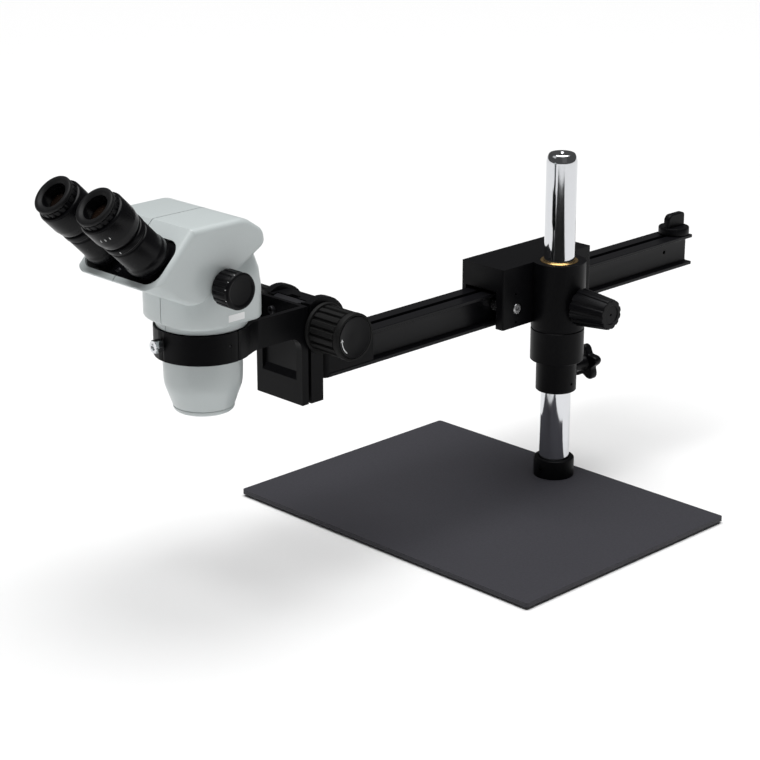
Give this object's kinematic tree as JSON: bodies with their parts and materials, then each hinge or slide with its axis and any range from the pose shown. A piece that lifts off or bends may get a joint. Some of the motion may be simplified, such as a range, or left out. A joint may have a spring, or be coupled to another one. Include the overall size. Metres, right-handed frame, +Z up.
{
  "type": "stereo microscope",
  "caption": "Stereo zoom microscope head held in a rack-and-pinion focus arm at the end of a sliding boom on a post and flat base plate.",
  "frame": {"origin": "middle of the overall footprint, on the surface the rubber feet stand on", "axes": "+Z up; +Y along the boom, away from the user; +X to the user's right"},
  "size_m": [0.4, 0.8644, 0.4172],
  "materials": {
    "powder_coat": "fine textured black powder coat",
    "rubber": "matt black rubber",
    "black_paint": "satin black paint",
    "chrome": "polished chrome plate",
    "steel": "bright turned steel",
    "bronze": "plain turned bronze",
    "anodised": "black anodised aluminium",
    "black_plastic": "moulded black plastic",
    "white_paint": "semi-gloss cool grey-white paint",
    "glass": "coated optical glass"
  },
  "bodies": {
    "stand": {"base_plate": "powder_coat", "rubber_foot_1": "rubber", "rubber_foot_2": "rubber", "rubber_foot_3": "rubber", "rubber_foot_4": "rubber", "post_socket": "black_paint", "post": "chrome", "post_bolt": "steel"},
    "collar": {"support_collar": "black_paint", "thrust_washer": "black_plastic"},
    "collar_knob": {"collar_star_knob": "black_plastic", "collar_stud": "steel"},
    "carrier": {"carrier_casting": "black_paint", "upper_bush": "bronze", "lower_bush": "bronze", "axle_screw_front_right": "steel", "axle_screw_front_left": "steel", "axle_screw_rear_right": "steel", "axle_screw_rear_left": "steel"},
    "bearing_front_right": {"guide_bearing_front_right": "steel"},
    "bearing_front_left": {"guide_bearing_front_left": "steel"},
    "bearing_rear_right": {"guide_bearing_rear_right": "steel"},
    "bearing_rear_left": {"guide_bearing_rear_left": "steel"},
    "clamp": {"clamp_knob": "black_plastic", "clamp_stud": "steel"},
    "boom": {"boom_rail": "anodised", "boom_end": "black_paint", "focus_body": "black_paint"},
    "stop_block": {"stop_bolt": "steel"},
    "stop_grip": {"stop_knob": "black_plastic"},
    "pinion": {"pinion_shaft": "steel", "focus_knob_right": "rubber", "focus_knob_left": "rubber", "knob_cap_right": "black_plastic", "knob_cap_left": "black_plastic"},
    "arm": {"head_arm": "black_paint", "slide_screw_right": "steel", "slide_screw_left": "steel", "dovetail_slide": "anodised", "focus_rack": "steel"},
    "thumb_screw": {"ring_thumb_screw": "chrome"},
    "head": {"nosepiece": "white_paint", "objective_lens": "glass", "head_shell_right": "white_paint", "head_shell_left": "white_paint", "eyepiece_panel": "black_paint"},
    "zoom": {"zoom_shaft": "steel", "zoom_knob_right": "black_plastic", "zoom_knob_left": "black_plastic"},
    "carriage": {"zoom_carriage": "anodised"},
    "tube_right": {"eyetube_right": "black_paint", "eyepiece_right": "black_paint", "eye_lens_right": "glass"},
    "diopter_right": {"diopter_ring_right": "black_plastic", "eyecup_right": "rubber"},
    "tube_left": {"eyetube_left": "black_paint", "eyepiece_left": "black_paint", "eye_lens_left": "glass"},
    "diopter_left": {"diopter_ring_left": "black_plastic", "eyecup_left": "rubber"}
  },
  "joints": [
    {"name": "collar_height", "type": "slide", "parent": "stand", "child": "collar", "axis": [0, 0, 1], "range_m": [-0.07, 0.09]},
    {"name": "collar_knob_turn", "type": "hinge", "parent": "collar", "child": "collar_knob", "pos_m": [0, 0.16138, 0.1225], "axis": [0, 1, 0], "range_deg": [-90, 360]},
    {"name": "carrier_swing", "type": "hinge", "parent": "collar", "child": "carrier", "pos_m": [0, 0.16138, 0.2025], "axis": [0, 0, 1], "range_deg": [-180, 180]},
    {"name": "clamp_knob_turn", "type": "hinge", "parent": "carrier", "child": "clamp", "pos_m": [0.05, 0.16138, 0.2005], "axis": [1, 0, 0], "range_deg": [-360, 90]},
    {"name": "boom_travel", "type": "slide", "parent": "carrier", "child": "boom", "axis": [0, 1, 0], "range_m": [-0.135, 0.17]},
    {"name": "bearing_spin_front_right", "type": "hinge", "parent": "carrier", "child": "bearing_front_right", "pos_m": [-0.0347, 0.11188, 0.1994], "axis": [1, 0, 0], "range_deg": [-800, 800]},
    {"name": "bearing_spin_front_left", "type": "hinge", "parent": "carrier", "child": "bearing_front_left", "pos_m": [-0.0609, 0.11188, 0.1994], "axis": [1, 0, 0], "range_deg": [-800, 800]},
    {"name": "bearing_spin_rear_right", "type": "hinge", "parent": "carrier", "child": "bearing_rear_right", "pos_m": [-0.0347, 0.20738, 0.1967], "axis": [1, 0, 0], "range_deg": [-800, 800]},
    {"name": "bearing_spin_rear_left", "type": "hinge", "parent": "carrier", "child": "bearing_rear_left", "pos_m": [-0.0609, 0.20738, 0.1967], "axis": [1, 0, 0], "range_deg": [-800, 800]},
    {"name": "stop_travel", "type": "slide", "parent": "boom", "child": "stop_block", "axis": [0, 1, 0], "range_m": [-0.03, 0]},
    {"name": "stop_knob_turn", "type": "hinge", "parent": "stop_block", "child": "stop_grip", "pos_m": [-0.048, 0.41488, 0.2225], "axis": [0, 0, 1], "range_deg": [-180, 180]},
    {"name": "focus_travel", "type": "slide", "parent": "boom", "child": "arm", "axis": [0, 0, 1], "range_m": [-0.018, 0.032]},
    {"name": "pinion_turn", "type": "hinge", "parent": "boom", "child": "pinion", "pos_m": [-0.048, -0.16012, 0.2397], "axis": [1, 0, 0], "range_deg": [-370, 210]},
    {"name": "thumb_screw_turn", "type": "hinge", "parent": "arm", "child": "thumb_screw", "pos_m": [-0.048, -0.28062, 0.2515], "axis": [-0.0872, -0.9962, 0], "range_deg": [-90, 360]},
    {"name": "head_turn", "type": "hinge", "parent": "arm", "child": "head", "pos_m": [-0.048, -0.28062, 0.2505], "axis": [0, 0, 1], "range_deg": [-180, 180]},
    {"name": "zoom_turn", "type": "hinge", "parent": "head", "child": "zoom", "pos_m": [-0.048, -0.30012, 0.314], "axis": [1, 0, 0], "range_deg": [-135, 135]},
    {"name": "zoom_carriage_travel", "type": "slide", "parent": "head", "child": "carriage", "axis": [0, 0, 1], "range_m": [-0.0091, 0.0091]},
    {"name": "tube_swing_right", "type": "hinge", "parent": "head", "child": "tube_right", "pos_m": [-0.017, -0.36464, 0.34018], "axis": [0, -0.7071, 0.7071], "range_deg": [-85, 29]},
    {"name": "tube_swing_left", "type": "hinge", "parent": "head", "child": "tube_left", "pos_m": [-0.079, -0.36464, 0.34018], "axis": [0, -0.7071, 0.7071], "range_deg": [-29, 85]},
    {"name": "diopter_turn_right", "type": "hinge", "parent": "tube_right", "child": "diopter_right", "pos_m": [-0.0189, -0.35991, 0.34491], "axis": [0, -0.7071, 0.7071], "range_deg": [-150, 150]},
    {"name": "diopter_turn_left", "type": "hinge", "parent": "tube_left", "child": "diopter_left", "pos_m": [-0.0771, -0.35991, 0.34491], "axis": [0, -0.7071, 0.7071], "range_deg": [-150, 150]}
  ],
  "couplings": [
    {"joint": "bearing_spin_front_right", "follows": "boom_travel", "rad_per_m": -80.645},
    {"joint": "bearing_spin_front_left", "follows": "boom_travel", "rad_per_m": -80.645},
    {"joint": "bearing_spin_rear_right", "follows": "boom_travel", "rad_per_m": 80.645},
    {"joint": "bearing_spin_rear_left", "follows": "boom_travel", "rad_per_m": 80.645},
    {"joint": "pinion_turn", "follows": "focus_travel", "rad_per_m": -200},
    {"joint": "zoom_carriage_travel", "follows": "zoom_turn", "m_per_rad": 0.0038},
    {"joint": "tube_swing_left", "follows": "tube_swing_right", "ratio": -1}
  ]
}
